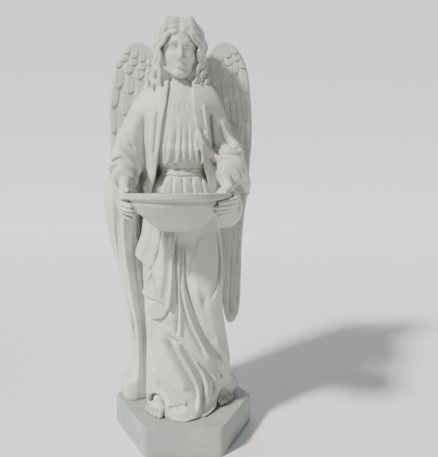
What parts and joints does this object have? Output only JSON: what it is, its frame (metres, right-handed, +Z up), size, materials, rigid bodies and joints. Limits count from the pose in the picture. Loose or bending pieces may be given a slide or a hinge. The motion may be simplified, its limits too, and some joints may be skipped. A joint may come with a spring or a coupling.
{
  "type": "angel statue holding a basin",
  "caption": "Standing winged figure in a draped robe and mantle on a hexagonal plinth, holding a wide open basin at waist height.",
  "frame": {"origin": "middle of the plinth's flat underside", "axes": "+Z up; the figure faces -Y; +X is the viewer's right when facing the figure"},
  "size_m": [0.6719, 0.7646, 1.7474],
  "materials": {
    "plinth_marble": "honed, slightly dusty",
    "figure_marble": "honed",
    "basin_marble": "honed",
    "wing_marble": "honed"
  },
  "bodies": {
    "root": {"plinth": "plinth_marble", "figure": "figure_marble", "basin": "basin_marble", "wing_left": "wing_marble", "wing_right": "wing_marble"}
  },
  "joints": []
}
